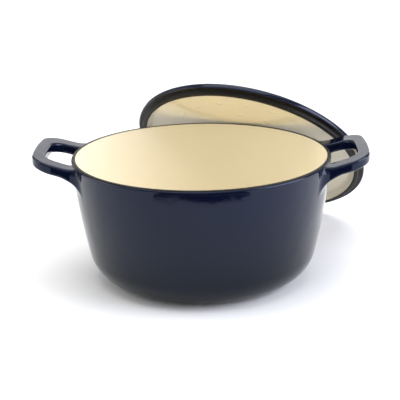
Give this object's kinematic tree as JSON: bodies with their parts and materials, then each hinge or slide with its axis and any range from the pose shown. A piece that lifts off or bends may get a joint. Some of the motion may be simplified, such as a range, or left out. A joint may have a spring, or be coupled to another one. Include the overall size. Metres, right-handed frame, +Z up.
{
  "type": "dutch oven",
  "caption": "Round enamelled cast iron dutch oven with two loop handles and a domed lid with a knob, the lid off and leaning on the back of the rim.",
  "frame": {"origin": "centre of the pot's flat base, on the surface it stands on", "axes": "+Z up through the pot's mouth, X through the two handles, and the lid leans on the rim's back at +Y"},
  "size_m": [0.3525, 0.3747, 0.1909],
  "materials": {
    "navy_enamel": "glossy dark navy vitreous enamel over cast iron",
    "cream_enamel": "glossy cream vitreous enamel",
    "black_enamel": "satin black vitreous enamel",
    "knob_steel": "satin stainless steel",
    "insert_brass": "turned brass",
    "washer_silicone": "matt dark silicone",
    "screw_steel": "bright stainless steel"
  },
  "bodies": {
    "pot": {"pot_casting": "navy_enamel", "pot_interior_enamel": "cream_enamel", "pot_rim_enamel": "black_enamel"},
    "lid": {"lid_casting": "navy_enamel", "lid_interior_enamel": "cream_enamel", "lid_rim_enamel": "black_enamel", "lid_knob": "knob_steel", "knob_insert": "insert_brass", "knob_washer": "washer_silicone", "knob_screw": "screw_steel", "screw_washer": "screw_steel"}
  },
  "joints": [
    {"name": "lid_lift", "type": "slide", "parent": "pot", "child": "lid", "axis": [0, 0, 1], "range_m": [0, 0.16]}
  ]
}
